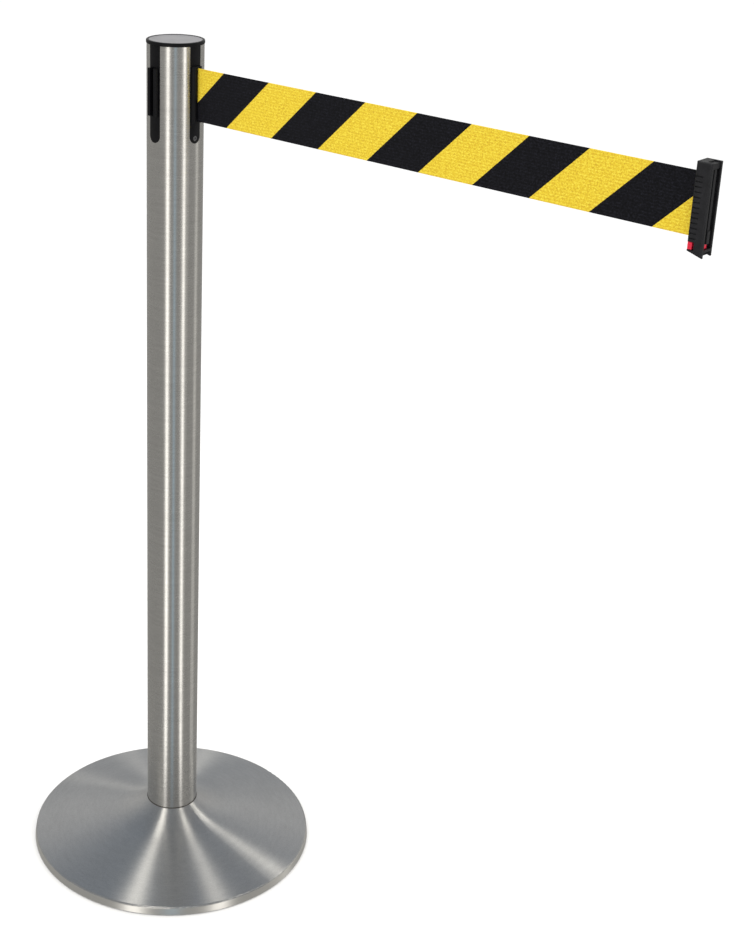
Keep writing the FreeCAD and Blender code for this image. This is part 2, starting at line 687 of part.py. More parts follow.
def make_clip_shell(side):
    """Half of the clip's body. side is -1 for the half at -Y and 1 for the half at +Y."""
    half = CLIP_W / 2
    front = CLIP_FRONT_X + 1
    outline = [(CLIP_REAR_X, CLIP_BOTTOM_Z), (CLIP_FRONT_X, lower_edge(CLIP_FRONT_X)),
               (CLIP_FRONT_X, CLIP_TOP_Z), (CLIP_REAR_X, CLIP_TOP_Z)]
    shell = extruded_xz(outline, 0.02, half)
    shell = shell.makeFillet(CLIP_ROUND, [e for e in shell.Edges if abs(e.CenterOfMass.y - half) < 0.01])
    inner_y = half - CHEEK_T
    gap_y = inner_y - CHEEK_RIDGE
    ridge_x = CLIP_FRONT_X - CHEEK_RIDGE_L
    stop_top = CLIP_TOP_Z - STOP_SINK
    stop_low = stop_top - STOP_H
    shell = shell.cut(block(CHEEK_X, ridge_x, -1, inner_y, TOE_Z, stop_low))
    shell = shell.cut(block(CHEEK_X, front, -1, gap_y, TOE_Z, stop_low))
    sink_x = CLIP_FRONT_X - STOP_SINK
    shell = shell.cut(block(sink_x, front, -1, gap_y, stop_low - 1, CLIP_TOP_Z + 1))
    shell = shell.cut(block(CHEEK_X, front, -1, gap_y, stop_top, CLIP_TOP_Z + 1))
    slit_low = BELT_LOW - 0.6
    slit_high = BELT_HIGH + 0.6
    shell = shell.cut(block(CLIP_REAR_X - 1, LOOP_X, -1, BELT_T / 2 + 0.3, slit_low, slit_high))
    shell = shell.cut(cylinder(LOOP_PIN_R + BELT_T + 0.35, slit_low, slit_high, LOOP_X, 0))
    shell = shell.cut(cylinder(LOOP_PIN_R + 0.02, BELT_LOW - 1.0, BELT_HIGH + 3.2, LOOP_X, 0))
    low, high = tongue_span()
    groove_x = CHEEK_X - TONGUE_ROOT - 0.05
    shell = shell.cut(block(groove_x, front, -1, TONGUE_T / 2 + 0.05, low - 0.1, high + 0.1))
    foot_high = low + TONGUE_FOOT_H + 0.1
    shell = shell.cut(block(groove_x, front, -1, TONGUE_FOOT_T / 2 + 0.05, low - 0.1, foot_high))
    shell = shell.cut(window_cut())
    hollow_x = CLIP_FRONT_X - TOE_HOLLOW_L
    shell = shell.cut(block(hollow_x, front, -1, gap_y, CLIP_BOTTOM_Z - 10, TOE_Z - TOE_FLOOR_T))
    for x, z in clip_screw_places():
        shell = shell.cut(Part.makeCylinder(CLIP_SCREW_R + 0.05, half - 0.6, V(x, -1, z), V(0, 1, 0)))
        if side > 0:
            head = Part.makeCylinder(CLIP_SCREW_HEAD_R + 0.1, 3, V(x, half - 1.8, z), V(0, 1, 0))
            shell = shell.cut(head)
    for i in range(GRIP_GROOVES):
        shell = shell.cut(grip_groove(CLIP_TOP_Z - 12.0 - i * GRIP_PITCH))
    if side < 0:
        shell = shell.mirror(V(0, 0, 0), V(0, 1, 0))
    return [shell]


def grip_groove(z):
    """A shallow finger groove across the rear part of the half at +Y."""
    half = CLIP_W / 2
    x0 = CLIP_REAR_X + GRIP_START
    floor_y = half - GRIP_DEPTH
    profile = [V(x0, half + 0.1, z - GRIP_H), V(x0, floor_y, z - GRIP_H * 0.6),
               V(x0, floor_y, z - GRIP_H * 0.1), V(x0, half + 0.1, z)]
    return Part.Face(Part.makePolygon(profile + profile[:1])).extrude(V(GRIP_END - GRIP_START, 0, 0))


def window_cut():
    """Room for the lock: a notch in the clip's rear corner and a channel to its front."""
    half = CLIP_W / 2
    notch_x = CLIP_REAR_X + LOCK_NOTCH_L + LOCK_TRAVEL
    notch = block(CLIP_REAR_X - 1, notch_x, -1, half + 1, WINDOW_LOW, WINDOW_HIGH)
    channel_y = LOCK_NOSE_W / 2 + LOCK_GAP
    channel = block(CLIP_REAR_X - 1, CLIP_FRONT_X + 1, -1, channel_y, TOE_Z, WINDOW_HIGH - LOCK_NOSE_DROP)
    return notch.fuse(channel)


def tongue_span():
    """Lowest and highest Z of the tongue, between the lock's channel and the stop."""
    return WINDOW_HIGH - 1.5, CLIP_TOP_Z - STOP_SINK - STOP_H - 0.2


def clip_screw_places():
    return [(LOOP_X, CLIP_TOP_Z - 4.0), (CLIP_REAR_X + 9.6, CLIP_BOTTOM_Z - 0.7)]


def make_clip_tongue():
    """Strip between the two halves that goes into a receiver's slot, thicker and further out at its foot."""
    low, high = tongue_span()
    x0 = CHEEK_X - TONGUE_ROOT
    blade = block(x0, CLIP_FRONT_X - TONGUE_BACK, -TONGUE_T / 2, TONGUE_T / 2, low, high)
    half = TONGUE_FOOT_T / 2
    foot = block(x0, CLIP_FRONT_X - TONGUE_FOOT_BACK, -half, half, low, low + TONGUE_FOOT_H)
    foot = foot.makeFillet(0.5, [e for e in upright_edges(foot) if e.CenterOfMass.x > CLIP_FRONT_X - 1])
    return [blade.fuse(foot).removeSplitter()]


def make_loop_pin():
    return [cylinder(LOOP_PIN_R, BELT_LOW - 0.8, BELT_HIGH + 3, LOOP_X, 0)]


def make_clip_screws():
    screws = []
    half = CLIP_W / 2
    for x, z in clip_screw_places():
        head = Part.makeCylinder(CLIP_SCREW_HEAD_R, 1.3, V(x, half - 1.8, z), V(0, 1, 0))
        shank = Part.makeCylinder(CLIP_SCREW_R, CLIP_W - 4, V(x, half - 1.8, z), V(0, -1, 0))
        body = head.fuse(shank).removeSplitter()
        for a, b in ((1.0, 0.22), (0.22, 1.0)):
            body = body.cut(block(x - a, x + a, half - 1.1, half + 1, z - b, z + b))
        screws.append(body)
    return screws


def make_lock_slider():
    """Red lock: a crossbar with a thumb face on each side, and a nose that shows between the cheeks."""
    half = CLIP_W / 2 - LOCK_GAP
    x0 = CLIP_REAR_X + 0.4
    low = WINDOW_LOW + 0.25
    high = WINDOW_HIGH - 0.25
    bar = block(x0, x0 + LOCK_BAR_L, -half, half, low, high)
    bar = bar.makeFillet(0.8, [e for e in bar.Edges if abs(abs(e.CenterOfMass.y) - half) < 0.01])
    nose_y = LOCK_NOSE_W / 2
    nose_high = WINDOW_HIGH - LOCK_NOSE_DROP - 0.25
    nose = block(x0 + LOCK_BAR_L - 0.6, CHEEK_X + LOCK_NOSE_L, -nose_y, nose_y, TOE_Z + 0.25, nose_high)
    body = bar.fuse(nose).removeSplitter()
    for i in range(3):
        x = x0 + 1.2 + 1.1 * i
        body = body.cut(block(x, x + 0.4, half - 0.25, half + 1, low + 1, high - 1))
        body = body.cut(block(x, x + 0.4, -half - 1, -half + 0.25, low + 1, high - 1))
    return [body]


def pieces():
    """Every node's name with its solids."""
    shoe = make_brake_shoe()
    receiver = make_receiver()
    return {
        "floor_ring": make_floor_ring(),
        "bolt_cover": make_bolt_cover(),
        "base_weight": make_base_weight(),
        "base_cover": make_base_cover(),
        "post_gasket": make_post_gasket(),
        "tie_bolt": make_tie_bolt(),
        "lock_washer": make_lock_washer(),
        "plate_washer": make_plate_washer(),
        "foot_plug": make_foot_plug(),
        "post_tube": make_post_tube(),
        "cassette_core": make_cassette_core(),
        "cassette_lid": make_cassette_lid(),
        "lid_screws": make_lid_screws(),
        "cassette_screw": make_cassette_screw(),
        "head_cap": make_head_cap(),
        "cap_disc": make_cap_disc(),
        "receiver_right": [turned(receiver, 90)],
        "receiver_back": [turned(receiver, 180)],
        "receiver_left": [turned(receiver, 270)],
        "belt_nose": make_belt_nose(),
        "guide_pins": make_guide_pins(),
        "belt_leader": make_belt_leader(),
        "spool_axle": make_spool_axle(),
        "axle_clips": make_axle_clips(),
        "brake_drum": make_brake_drum(),
        "spool": make_spool(),
        "spool_bushes": make_spool_bushes(),
        "belt_roll": make_belt_roll(),
        "spring_cup": make_spring_cup(),
        "spring_cover": make_spring_cover(),
        "power_spring": make_power_spring(),
        "brake_carrier": make_brake_carrier(),
        "brake_shoe_a": [shoe],
        "brake_shoe_b": [turned(shoe, 180)],
        "belt": make_belt(),
        "clip_shell_near": make_clip_shell(-1),
        "clip_shell_far": make_clip_shell(1),
        "clip_tongue": make_clip_tongue(),
        "loop_pin": make_loop_pin(),
        "clip_screws": make_clip_screws(),
        "lock_slider": make_lock_slider(),
    }


def main():
    os.makedirs("parts", exist_ok=True)
    for old in os.listdir("parts"):
        os.remove(os.path.join("parts", old))
    for name, solids in pieces().items():
        found = []
        for shape in solids:
            found += shape.Solids
        bad = [s for s in found if not s.isValid() or s.Volume <= 0]
        volume = sum(s.Volume for s in found)
        print(f"{name:18s} solids {len(found)} volume {volume:12.1f}", "BAD" if bad else "")
        Part.makeCompound(found).exportStep(os.path.join("parts", name + ".step"))
    print(f"roll radius {ROLL_R:.2f}")


main()
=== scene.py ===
import math

import bpy
import numpy as np
from mathutils import Matrix, Vector


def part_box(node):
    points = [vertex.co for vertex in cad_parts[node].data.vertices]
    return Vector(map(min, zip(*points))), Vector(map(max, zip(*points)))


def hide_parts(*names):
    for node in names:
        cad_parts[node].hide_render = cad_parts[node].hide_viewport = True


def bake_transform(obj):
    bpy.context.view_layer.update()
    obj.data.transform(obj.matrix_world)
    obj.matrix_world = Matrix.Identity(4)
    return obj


# Looks of the retractable belt stanchion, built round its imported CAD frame. Metres.
# Directions round the post are in degrees from the camera's side, and grow towards the camera's right.

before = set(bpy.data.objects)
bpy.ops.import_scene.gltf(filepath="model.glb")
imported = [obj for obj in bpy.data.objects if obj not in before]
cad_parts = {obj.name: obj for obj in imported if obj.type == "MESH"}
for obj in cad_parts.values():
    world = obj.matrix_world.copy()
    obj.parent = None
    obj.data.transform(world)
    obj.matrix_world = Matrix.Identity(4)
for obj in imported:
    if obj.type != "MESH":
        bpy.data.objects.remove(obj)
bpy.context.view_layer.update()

# Camera: where it stands, how it is turned, and its lens
CAMERA_AZIMUTH = math.radians(45.848)    # from -Y towards +X
CAMERA_DISTANCE = 1.8575                 # from the post's axis, measured level
CAMERA_HEIGHT = 1.3396
CAMERA_YAW = math.radians(-3.13)
CAMERA_PITCH = math.radians(22.167)
CAMERA_ROLL = math.radians(1.458)
CAMERA_LENS = 63.94      # millimetres, as is SENSOR
CAMERA_SHIFT = (0.124, -0.058)
CAMERA_REACH = (0.05, 100.0)
SENSOR = 36.0

# Room
WHITE = (1.0, 1.0, 1.0)
FLOOR_HALF = 30.0
FLOOR_COLOURS = ((0.92, 0.92, 0.92), (0.93, 0.93, 0.93))
ROOM_LIGHT = 1.15        # even light that matt surfaces see
# Upright strip lights that the post reflects: direction, half the width in degrees, and colour.
# Each has a soft glow beside it, which fades into the walls.
STRIPS = [
    (-30.0, 3.5, (2.30, 2.25, 2.15)),
    (0.0, 2.0, (0.46, 0.58, 0.66)),
    (38.5, 2.5, (2.30, 2.25, 2.15)),
    (100.0, 1.5, (0.85, 0.84, 0.80)),
    (180.0, 4.0, (1.20, 1.18, 1.14)),
]
GLOW = 0.2               # share of a strip's light in the glow beside it
GLOW_WIDTH = 4.5         # degrees from the strip's edge to the glow, and to the bare wall
FADE_WIDTH = 12.0
WALL = (0.34, 0.335, 0.32)
# The walls above the horizon, and the ceiling: direction and colour
HORIZON_BANDS = [
    (-180.0, (0.84, 0.83, 0.80)),
    (-90.0, (0.58, 0.57, 0.55)),
    (0.0, (0.46, 0.45, 0.44)),
    (90.0, (0.58, 0.57, 0.55)),
]
OVERHEAD_BANDS = [
    (-180.0, (0.20, 0.25, 0.32)),
    (-90.0, (0.24, 0.27, 0.30)),
    (0.0, (0.28, 0.30, 0.32)),
    (90.0, (0.29, 0.30, 0.31)),
]
# Sines of the elevations between which the room turns into these
HORIZON_RISE = (0.04, 0.19)
OVERHEAD_RISE = (0.30, 0.78)
# Square softboxes: direction, degrees up, size, and power in watts
LIGHT_DISTANCE = 2.6
LIGHT_TARGET = (0.1, 0.0, 0.4)
LIGHT_COLOUR = (1.0, 0.96, 0.86)
SOFTBOXES = {
    "left_box": (-75.0, 70.0, 0.35, 9.5),
    "right_box": (85.0, 70.0, 0.35, 5.6),
    "side_box": (120.0, 40.0, 0.30, 4.8),
}

PATCH_SPREAD = 22.0      # how much broader a speckled metal's patches are than its grain

# Brushed steel. Its marks are noise, stretched along them.
MARK_TURN = 0.25         # turns the steel's highlights across its brush marks
POST_MARKS = (90.0, 90.0, 2100.0)        # cells a metre: few round the tube, many along it
DISC_ARCS = 60.0         # cells for each unit of direction from the axis, so the marks are long arcs
DISC_RINGS = 1900.0      # cells a metre outward
DISC_STEPS = 900.0       # cells a metre upward
AXIS_MARGIN = 0.001      # keeps the direction from the axis defined on it
RIM_TOP = 0.0098         # the base's rim reaches up to here; below it the steel is painted lighter, a painted highlight
RIM_BLEND = 0.0006
# Painted highlight: the rim's steel colour, lighter than the cover's, stands in for the brighter reflections
# on the rim.
PAINTED_RIM_HIGHLIGHT = (0.80, 0.785, 0.75)

# Belt
BELT_WIDTH = 0.058
BELT_HALF_T = 0.00034
BELT_COLUMNS = 15        # points across its flat part
BELT_STEP = 0.004        # between points along it
SELVEDGE = 0.0024        # woven edge, a little thicker than the rest
SELVEDGE_HALF_T = 0.00042
SELVEDGE_ROUND = ((0.00004, 0.0), (0.0001, 0.6), (0.0004, 0.95), (SELVEDGE * 0.6, 1.0))
LOOP_R = 0.0018          # round the pin in the clip
LOOP_LEAD = 0.7          # the straight part ends this many loop radii before the loop
LOOP_TURN = (200.0, 520.0)       # degrees, nearly all the way round
LOOP_STATIONS = 25
STRIPE_START = 0.044     # where the first yellow stripe ends, at the belt's middle height
STRIPE_WIDTH = 0.0655    # along the belt
STRIPE_SLANT = 1.043     # how far a stripe runs along the belt for each unit of height
STRIPE_FUZZ = 0.0004     # how far stray threads cross a stripe's edge
WARP_PITCH = 0.00095
WEFT_PITCH = 0.0011
TWILL_PITCH = 0.0021
ROW_PITCH = 0.0031       # between the rows that show in the weave
THREAD_CELLS = (350.0, 1.0, 1500.0)      # noise cells a metre along, through and up the belt
PATCH_CELLS = (140.0, 1.0, 420.0)
YELLOWS = [(0.38, (0.57, 0.35, 0.025)), (0.50, (0.74, 0.53, 0.028)), (0.62, (0.84, 0.70, 0.075))]
BLACKS = [(0.36, (0.001, 0.001, 0.002)), (0.50, (0.004, 0.004, 0.006)), (0.64, (0.014, 0.014, 0.021))]

# CAD nodes whose finish differs from that of their record slot
OWN_FINISH = {"cassette_screw": "screw_black", "post_gasket": "gasket_rubber"}
# CAD nodes whose sharp edges are rounded, and by how much
EDGE_WIDTHS = {
    "clip_shell_near": 0.0004,
    "clip_shell_far": 0.0004,
    "clip_tongue": 0.0003,
    "head_cap": 0.0004,
    "belt_nose": 0.0003,
    "receiver_left": 0.0004,
    "receiver_back": 0.0004,
    "receiver_right": 0.0004,
    "cassette_core": 0.0003,
    "lock_slider": 0.0003,
}
EDGE_SEGMENTS = 2
SHARP_ANGLE = math.radians(38.0)
WELD_DISTANCE = 1e-6


def node_box(name):
    low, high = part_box(name)
    return np.array(low), np.array(high)


def belt_middle():
    """The height of the belt's middle line."""
    low, high = node_box("belt")
    return (low[2] + high[2]) / 2


# ---------------------------------------------------------------- materials

def opaque(colour):
    return (*colour, 1.0)


def shaded(colour, factor):
    return tuple(channel * factor for channel in colour)


class Nodes:
    """A node tree, with short calls that add its nodes and join them."""

    def __init__(self, tree):
        self.tree = tree
        tree.nodes.clear()

    def add(self, kind, inputs=None, **settings):
        made = self.tree.nodes.new(kind)
        for name, value in settings.items():
            setattr(made, name, value)
        for socket, value in (inputs or {}).items():
            if isinstance(value, bpy.types.NodeSocket):
                self.tree.links.new(value, made.inputs[socket])
            else:
                made.inputs[socket].default_value = value
        return made

    def maths(self, operation, *values):
        return self.add("ShaderNodeMath", dict(enumerate(values)), operation=operation).outputs[0]

    def weighted(self, *parts):
        """The sum of (value, weight) parts."""
        value, weight = parts[0]
        total = self.maths("MULTIPLY", value, weight)
        for value, weight in parts[1:]:
            total = self.maths("MULTIPLY_ADD", value, weight, total)
        return total

    def wave(self, value, pitch):
        return self.maths("SINE", self.maths("MULTIPLY", value, 2 * math.pi / pitch))

    def vector(self, operation, *values):
        made = self.add("ShaderNodeVectorMath", dict(enumerate(values)), operation=operation)
        return made.outputs["Value" if operation == "LENGTH" else "Vector"]

    def split(self, vector):
        return self.add("ShaderNodeSeparateXYZ", {0: vector}).outputs

    def join(self, x, y, z):
        return self.add("ShaderNodeCombineXYZ", {0: x, 1: y, 2: z}).outputs[0]

    def noise(self, vector, scale, detail=2.0, roughness=0.5):
        inputs = {"Vector": vector, "Scale": scale, "Detail": detail, "Roughness": roughness}
        return self.add("ShaderNodeTexNoise", inputs).outputs[0]

    def cells(self, vector, scale):
        return self.add("ShaderNodeTexVoronoi", {"Vector": vector, "Scale": scale}).outputs["Distance"]

    def between(self, value, low, high, to_low=0.0, to_high=1.0, kind="LINEAR"):
        inputs = {0: value, 1: low, 2: high, 3: to_low, 4: to_high}
        return self.add("ShaderNodeMapRange", inputs, interpolation_type=kind).outputs[0]

    def ramp(self, value, stops):
        made = self.add("ShaderNodeValToRGB", {0: value})
        elements = made.color_ramp.elements
        for i, (position, colour) in enumerate(stops):
            element = elements[i] if i < 2 else elements.new(position)
            element.position = position
            element.color = opaque(colour)
        return made.outputs[0]

    def tones(self, value, colour, steps):
        """The colour, darker or lighter with value: steps are (value, factor)."""
        return self.ramp(value, [(position, shaded(colour, factor)) for position, factor in steps])

    def mix(self, share, a, b):
        return self.add("ShaderNodeMix", {0: share, 6: a, 7: b}, data_type="RGBA").outputs[2]


class Shader(Nodes):
    """A material with one Principled shader."""

    def __init__(self, name, **numbers):
        self.material = bpy.data.materials.new(name)
        self.material.use_nodes = True
        super().__init__(self.material.node_tree)
        self.surface = self.add("ShaderNodeBsdfPrincipled")
        self.add("ShaderNodeOutputMaterial", {"Surface": self.surface.outputs["BSDF"]})
        for socket, value in numbers.items():
            self.surface.inputs[socket.replace("_", " ")].default_value = value
        self.place = self.add("ShaderNodeTexCoord").outputs["Object"]

    def set(self, **links):
        for socket, value in links.items():
            self.tree.links.new(value, self.surface.inputs[socket.replace("_", " ")])

    def bump(self, height, strength, distance):
        inputs = {"Height": height, "Strength": strength, "Distance": distance}
        self.set(Normal=self.add("ShaderNodeBump", inputs).outputs[0])


def brushed_steel(name, colour, marks_on, roughness, painted_highlight_below=None):
    """Satin steel. marks_on gives the object's place, stretched so that noise on it looks like brush marks.

    The last argument is the height under which the steel's colour is painted lighter: a painted highlight.
    """
    s = Shader(name, Metallic=1.0, Anisotropic=1.0, Anisotropic_Rotation=MARK_TURN)
    s.set(Tangent=s.add("ShaderNodeTangent", direction_type="RADIAL", axis="Z").outputs[0])
    marks = marks_on(s)
    fine = s.noise(marks, scale=1.0, detail=3.0, roughness=0.6)
    broad = s.noise(marks, scale=0.16)
    haze = s.noise(s.place, scale=26.0, detail=4.0, roughness=0.6)
    speck = s.noise(s.place, scale=800.0, detail=1.0)
    tone = s.weighted((broad, 0.25), (fine, 0.4), (speck, 0.35))
    shade = s.tones(tone, colour, ((0.36, 0.88), (0.50, 1.0), (0.64, 1.10)))
    if painted_highlight_below is not None:
        # Painted highlight: below the rim's top the steel's colour is painted lighter.
        height = s.split(s.place)[2]
        painted_highlight = s.between(height, painted_highlight_below + RIM_BLEND, painted_highlight_below)
        shade = s.mix(painted_highlight, shade, opaque(PAINTED_RIM_HIGHLIGHT))
    s.set(Base_Color=shade)
    hazy = s.between(haze, 0.3, 0.7, roughness - 0.04, roughness + 0.01)
    s.set(Roughness=s.maths("MULTIPLY_ADD", fine, 0.05, hazy))
    s.bump(fine, strength=0.08, distance=0.00005)
    return s.material


def round_the_post(s):
    """Marks left by polishing a turning tube: long round it, fine along it."""
    return s.vector("MULTIPLY", s.place, POST_MARKS)


def round_the_disc(s):
    """Marks left by spinning a disc: rings about the axis."""
    x, y, z = s.split(s.place)
    radius = s.vector("LENGTH", s.join(x, y, 0.0))
    apart = s.maths("ADD", radius, AXIS_MARGIN)
    arc_x = s.maths("MULTIPLY", s.maths("DIVIDE", x, apart), DISC_ARCS)
    arc_y = s.maths("MULTIPLY", s.maths("DIVIDE", y, apart), DISC_ARCS)
    return s.join(arc_x, arc_y, s.weighted((radius, DISC_RINGS), (z, DISC_STEPS)))


def moulded_plastic(name, colour, roughness, grain=0.12, coat=0.0, specular=0.3):
    """Faintly cloudy moulded plastic, whose spark-eroded grain is rubbed lighter on its high spots."""
    s = Shader(name, Coat_Weight=coat, Coat_Roughness=0.25, Specular_IOR_Level=specular)
    pits = s.cells(s.place, scale=2600.0)
    wander = s.noise(s.place, scale=90.0, detail=4.0, roughness=0.6)
    speck = s.noise(s.place, scale=1500.0)
    tone = s.weighted((speck, 0.4), (wander, 0.6))
    s.set(Base_Color=s.tones(tone, colour, ((0.32, 0.72), (0.52, 1.0), (0.72, 1.5))))
    s.set(Roughness=s.between(wander, 0.25, 0.75, roughness - 0.07, roughness + 0.08))
    s.bump(s.weighted((speck, 0.5), (pits, 0.7)), strength=grain, distance=0.00025)
    return s.material


def plain_metal(name, colour, roughness, grain_scale, stain, strength=0.15):
    """Metal whose surface is speckled: cast, plated, blued or sintered."""
    s = Shader(name, Metallic=1.0)
    grain = s.noise(s.place, scale=grain_scale, detail=5.0, roughness=0.65)
    patch = s.noise(s.place, scale=grain_scale / PATCH_SPREAD, detail=3.0, roughness=0.6)
    tone = s.weighted((patch, 0.5), (grain, 0.5))
    s.set(Base_Color=s.ramp(tone, [(0.30, stain), (0.52, colour), (0.75, shaded(colour, 1.12))]))
    s.set(Roughness=s.between(grain, 0.25, 0.75, roughness - 0.08, roughness + 0.1))
    s.bump(grain, strength=strength, distance=0.0002)
    return s.material


def rubber(name, colour):
    """Moulded rubber, greyed by dust in patches."""
    s = Shader(name, Specular_IOR_Level=0.35)
    grain = s.noise(s.place, scale=700.0, detail=5.0, roughness=0.7)
    dust = s.noise(s.place, scale=45.0, detail=4.0, roughness=0.6)
    s.set(Base_Color=s.tones(dust, colour, ((0.35, 1.0), (0.60, 1.5), (0.78, 2.6))))
    s.set(Roughness=s.between(grain, 0.25, 0.75, 0.68, 0.88))
    s.bump(grain, strength=0.2, distance=0.0002)
    return s.material


def woven_belt(name):
    """Mottled polyester webbing in slanted yellow and black stripes, with twill ribs and stray threads."""
    s = Shader(name, Specular_IOR_Level=0.15, Sheen_Weight=0.03, Sheen_Roughness=0.45)
    x, y, z = s.split(s.place)
    height = s.maths("SUBTRACT", z, belt_middle())
    along = s.maths("SUBTRACT", x, s.maths("MULTIPLY", height, STRIPE_SLANT))
    fuzz = s.between(s.noise(s.place, scale=1300.0), 0.0, 1.0, -STRIPE_FUZZ, STRIPE_FUZZ)
    along = s.maths("ADD", along, fuzz)
    turns = s.maths("DIVIDE", s.maths("SUBTRACT", along, STRIPE_START), 2 * STRIPE_WIDTH)
    yellow_share = s.maths("GREATER_THAN", s.maths("FRACT", turns), 0.5)
    crossings = s.maths("MULTIPLY", s.wave(z, WARP_PITCH), s.wave(x, WEFT_PITCH))
    weave = s.weighted((s.wave(s.maths("ADD", x, z), TWILL_PITCH), 0.35), (crossings, 0.6))
    threads = s.noise(s.vector("MULTIPLY", s.place, THREAD_CELLS), scale=1.0)
    mottle = s.noise(s.place, scale=620.0, detail=3.0, roughness=0.7)
    patchy = s.noise(s.vector("MULTIPLY", s.place, PATCH_CELLS), scale=1.0)
    rows = s.maths("MULTIPLY", s.wave(z, ROW_PITCH), patchy)
    tone = s.weighted((threads, 0.4), (mottle, 0.6), (rows, 0.055), (weave, 0.05))
    s.set(Base_Color=s.mix(yellow_share, s.ramp(tone, BLACKS), s.ramp(tone, YELLOWS)))
    s.set(Roughness=s.between(tone, 0.3, 0.7, 0.72, 0.9))
    s.bump(s.maths("MULTIPLY_ADD", threads, 0.6, weave), strength=0.35, distance=0.00012)
    return s.material


def make_materials():
    """A finish for each of the record's material slots, and the two in OWN_FINISH."""
    return {
        "post_steel": brushed_steel("satin_post", (0.60, 0.59, 0.57), round_the_post, roughness=0.26),
        "base_steel": brushed_steel("spun_cover", (0.56, 0.555, 0.55), round_the_disc, roughness=0.36,
                                    painted_highlight_below=RIM_TOP),
        "black_plastic": moulded_plastic("black_moulding", (0.004, 0.004, 0.005), roughness=0.42,
                                         specular=0.16),
        "clip_plastic": moulded_plastic("clip_moulding", (0.014, 0.014, 0.016), roughness=0.46, grain=0.2,
                                        specular=0.24),
        "red_plastic": moulded_plastic("red_moulding", (0.78, 0.018, 0.055), roughness=0.3, grain=0.05,
                                       coat=0.3),
        "spool_plastic": moulded_plastic("acetal", (0.62, 0.60, 0.55), roughness=0.4, grain=0.08),
        "screw_black": plain_metal("black_screw", (0.20, 0.20, 0.21), roughness=0.28, grain_scale=700.0,
                                   stain=(0.12, 0.12, 0.12)),
        "cap_metal": plain_metal("cap_disc_metal", (0.48, 0.47, 0.49), roughness=0.42, grain_scale=900.0,
                                 stain=(0.34, 0.34, 0.35)),
        "iron": plain_metal("cast_iron", (0.11, 0.105, 0.10), roughness=0.66, grain_scale=420.0,
                            stain=(0.07, 0.055, 0.045), strength=0.5),
        "plated_steel": plain_metal("zinc_plate", (0.58, 0.585, 0.56), roughness=0.34, grain_scale=600.0,
                                    stain=(0.45, 0.44, 0.38)),
        "spring_steel": plain_metal("blued_spring", (0.20, 0.23, 0.30), roughness=0.3, grain_scale=500.0,
                                    stain=(0.13, 0.13, 0.17)),
        "bronze": plain_metal("sintered_bronze", (0.50, 0.33, 0.14), roughness=0.42, grain_scale=1500.0,
                              stain=(0.30, 0.19, 0.08), strength=0.3),
        "base_rubber": rubber("floor_rubber", (0.014, 0.014, 0.014)),
        "gasket_rubber": rubber("gasket", (0.05, 0.045, 0.04)),
        "brake_rubber": rubber("brake_lining", (0.03, 0.024, 0.022)),
        "belt_weave": woven_belt("striped_webbing"),
    }


def dress_nodes(finishes):
    """Gives every CAD node the finish of its slot, or its own."""
    for name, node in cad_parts.items():
        slot = node.data.materials[0].name
        node.material_slots[0].material = finishes[OWN_FINISH.get(name, slot)]


def round_edges(name, width):
    """Rounds a CAD node's sharp edges a little, as moulding or tumbling does."""
    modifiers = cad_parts[name].modifiers
    modifiers.new("weld", "WELD").merge_threshold = WELD_DISTANCE
    bevel = modifiers.new("bevel", "BEVEL")
    bevel.width = width
    bevel.segments = EDGE_SEGMENTS
    bevel.limit_method = "ANGLE"
    bevel.angle_limit = SHARP_ANGLE
    modifiers.new("normals", "WEIGHTED_NORMAL")


# ---------------------------------------------------------------- belt

def belt_section():
    """(across, thickness) points round the belt's section: up one side, then down the other."""
    half = BELT_WIDTH / 2
    edge = [(inset - half, share) for inset, share in SELVEDGE_ROUND]
    side = [(across, share * SELVEDGE_HALF_T) for across, share in edge]
    side += [(across, BELT_HALF_T) for across in np.linspace(SELVEDGE - half, half - SELVEDGE, BELT_COLUMNS)]
    side += [(-across, share * SELVEDGE_HALF_T) for across, share in reversed(edge)]
    back = [(across, -thickness) for across, thickness in reversed(side[1:-1])]
    return side + back


def belt_path():
    """(point, direction) along the belt's middle line, from above: straight, then round the loop pin."""
    start = node_box("belt")[0][0]
    pin_low, pin_high = node_box("loop_pin")
    pin_x = (pin_low[0] + pin_high[0]) / 2
    stop = pin_x - LOOP_R
    count = int(round((stop - start) / BELT_STEP))
    stations = [((x, 0.0), (1.0, 0.0)) for x in np.linspace(start, stop - LOOP_R * LOOP_LEAD, count)]
    for turn in np.linspace(*LOOP_TURN, LOOP_STATIONS):
        angle = math.radians(turn)
        point = (pin_x + LOOP_R * math.cos(angle), LOOP_R * math.sin(angle))
        stations.append((point, (-math.sin(angle), math.cos(angle))))
    return stations


def mesh_object(name, points, faces, material):
    mesh = bpy.data.meshes.new(name)
    mesh.from_pydata([tuple(float(c) for c in p) for p in points], [], faces)
    mesh.validate()
    mesh.polygons.foreach_set("use_smooth", [True] * len(mesh.polygons))
    mesh.materials.append(material)
    made = bpy.data.objects.new(name, mesh)
    bpy.context.scene.collection.objects.link(made)
    return made


def swept(stations, section, middle):
    """Points and faces of a closed band whose section follows the stations."""
    points = []
    for (x, y), (dx, dy) in stations:
        for across, thickness in section:
            points.append((x - dy * thickness, y + dx * thickness, middle + across))
    size = len(section)
    faces = []
    for i in range(len(stations) - 1):
        for j in range(size):
            a, b = i * size + j, i * size + (j + 1) % size
            faces.append((a, b, b + size, a + size))
    last = (len(stations) - 1) * size
    faces.append(tuple(reversed(range(size))))
    faces.append(tuple(range(last, last + size)))
    return points, faces


def make_belt(material):
    """The drawn-out belt: one sheet from the guide pins to the clip, in place of the CAD belt, which is
    hidden.
    """
    stations = belt_path()
    points, faces = swept(stations, belt_section(), belt_middle())
    belt = mesh_object("striped_belt", points, faces, material)
    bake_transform(belt)
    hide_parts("belt")


# ---------------------------------------------------------------- room

